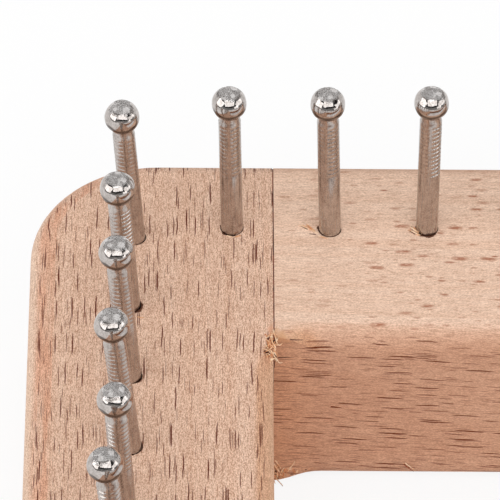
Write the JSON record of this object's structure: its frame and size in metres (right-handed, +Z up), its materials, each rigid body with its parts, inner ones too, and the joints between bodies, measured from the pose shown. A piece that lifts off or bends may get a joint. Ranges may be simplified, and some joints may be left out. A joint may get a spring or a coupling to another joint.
{
  "type": "adjustable knitting board",
  "caption": "Long wooden knitting frame with ball-headed steel pins along both rails and one end, and a sliding pinned crossbar clamped by wing nuts.",
  "frame": {"origin": "middle of the underside that the board rests on", "axes": "+X along the rails from the pinned end to the plain end, +Y to the back rail, +Z up along the pins"},
  "size_m": [0.458, 0.1182, 0.038],
  "materials": {
    "block_beech": "planed and sanded, unvarnished",
    "rail_beech": "planed and sanded, unvarnished",
    "slider_beech": "planed and sanded, unvarnished",
    "dowel_beech": "turned, unvarnished",
    "pin_steel": "drawn wire, nickel plated, tumbled",
    "zinc_steel": "bright zinc plate"
  },
  "bodies": {
    "frame": {"pinned_end_block": "block_beech", "plain_end_block": "block_beech", "back_rail": "rail_beech", "front_rail": "rail_beech", "pinned_end_dowels": "dowel_beech", "plain_end_dowels": "dowel_beech", "end_row_pins": "pin_steel", "block_side_pins": "pin_steel", "back_rail_pins": "pin_steel", "front_rail_pins": "pin_steel"},
    "slider": {"slider_bar": "slider_beech", "upper_clamp_strip": "slider_beech", "under_clamp_strip": "slider_beech", "slider_pins": "pin_steel", "back_carriage_bolt": "zinc_steel", "front_carriage_bolt": "zinc_steel"},
    "back_washer_set": {"back_washer": "zinc_steel"},
    "back_nut": {"back_wing_nut": "zinc_steel"},
    "front_washer_set": {"front_washer": "zinc_steel"},
    "front_nut": {"front_wing_nut": "zinc_steel"}
  },
  "joints": [
    {"name": "slider_travel", "type": "slide", "parent": "frame", "child": "slider", "axis": [1, 0, 0], "range_m": [-0.20973, 0.12023]},
    {"name": "back_washer_lift", "type": "slide", "parent": "slider", "child": "back_washer_set", "axis": [0, 0, 1], "range_m": [0, 0.0017]},
    {"name": "back_wing_nut_turn", "type": "hinge", "parent": "back_washer_set", "child": "back_nut", "pos_m": [0.04475, 0.02595, 0.02595], "axis": [0, 0, 1], "range_deg": [0, 720]},
    {"name": "front_washer_lift", "type": "slide", "parent": "slider", "child": "front_washer_set", "axis": [0, 0, 1], "range_m": [0, 0.0017]},
    {"name": "front_wing_nut_turn", "type": "hinge", "parent": "front_washer_set", "child": "front_nut", "pos_m": [0.04475, -0.02595, 0.02595], "axis": [0, 0, 1], "range_deg": [0, 720]}
  ],
  "couplings": [
    {"joint": "back_washer_lift", "follows": "back_wing_nut_turn", "m_per_rad": 0.00012732},
    {"joint": "front_washer_lift", "follows": "front_wing_nut_turn", "m_per_rad": 0.00012732}
  ]
}
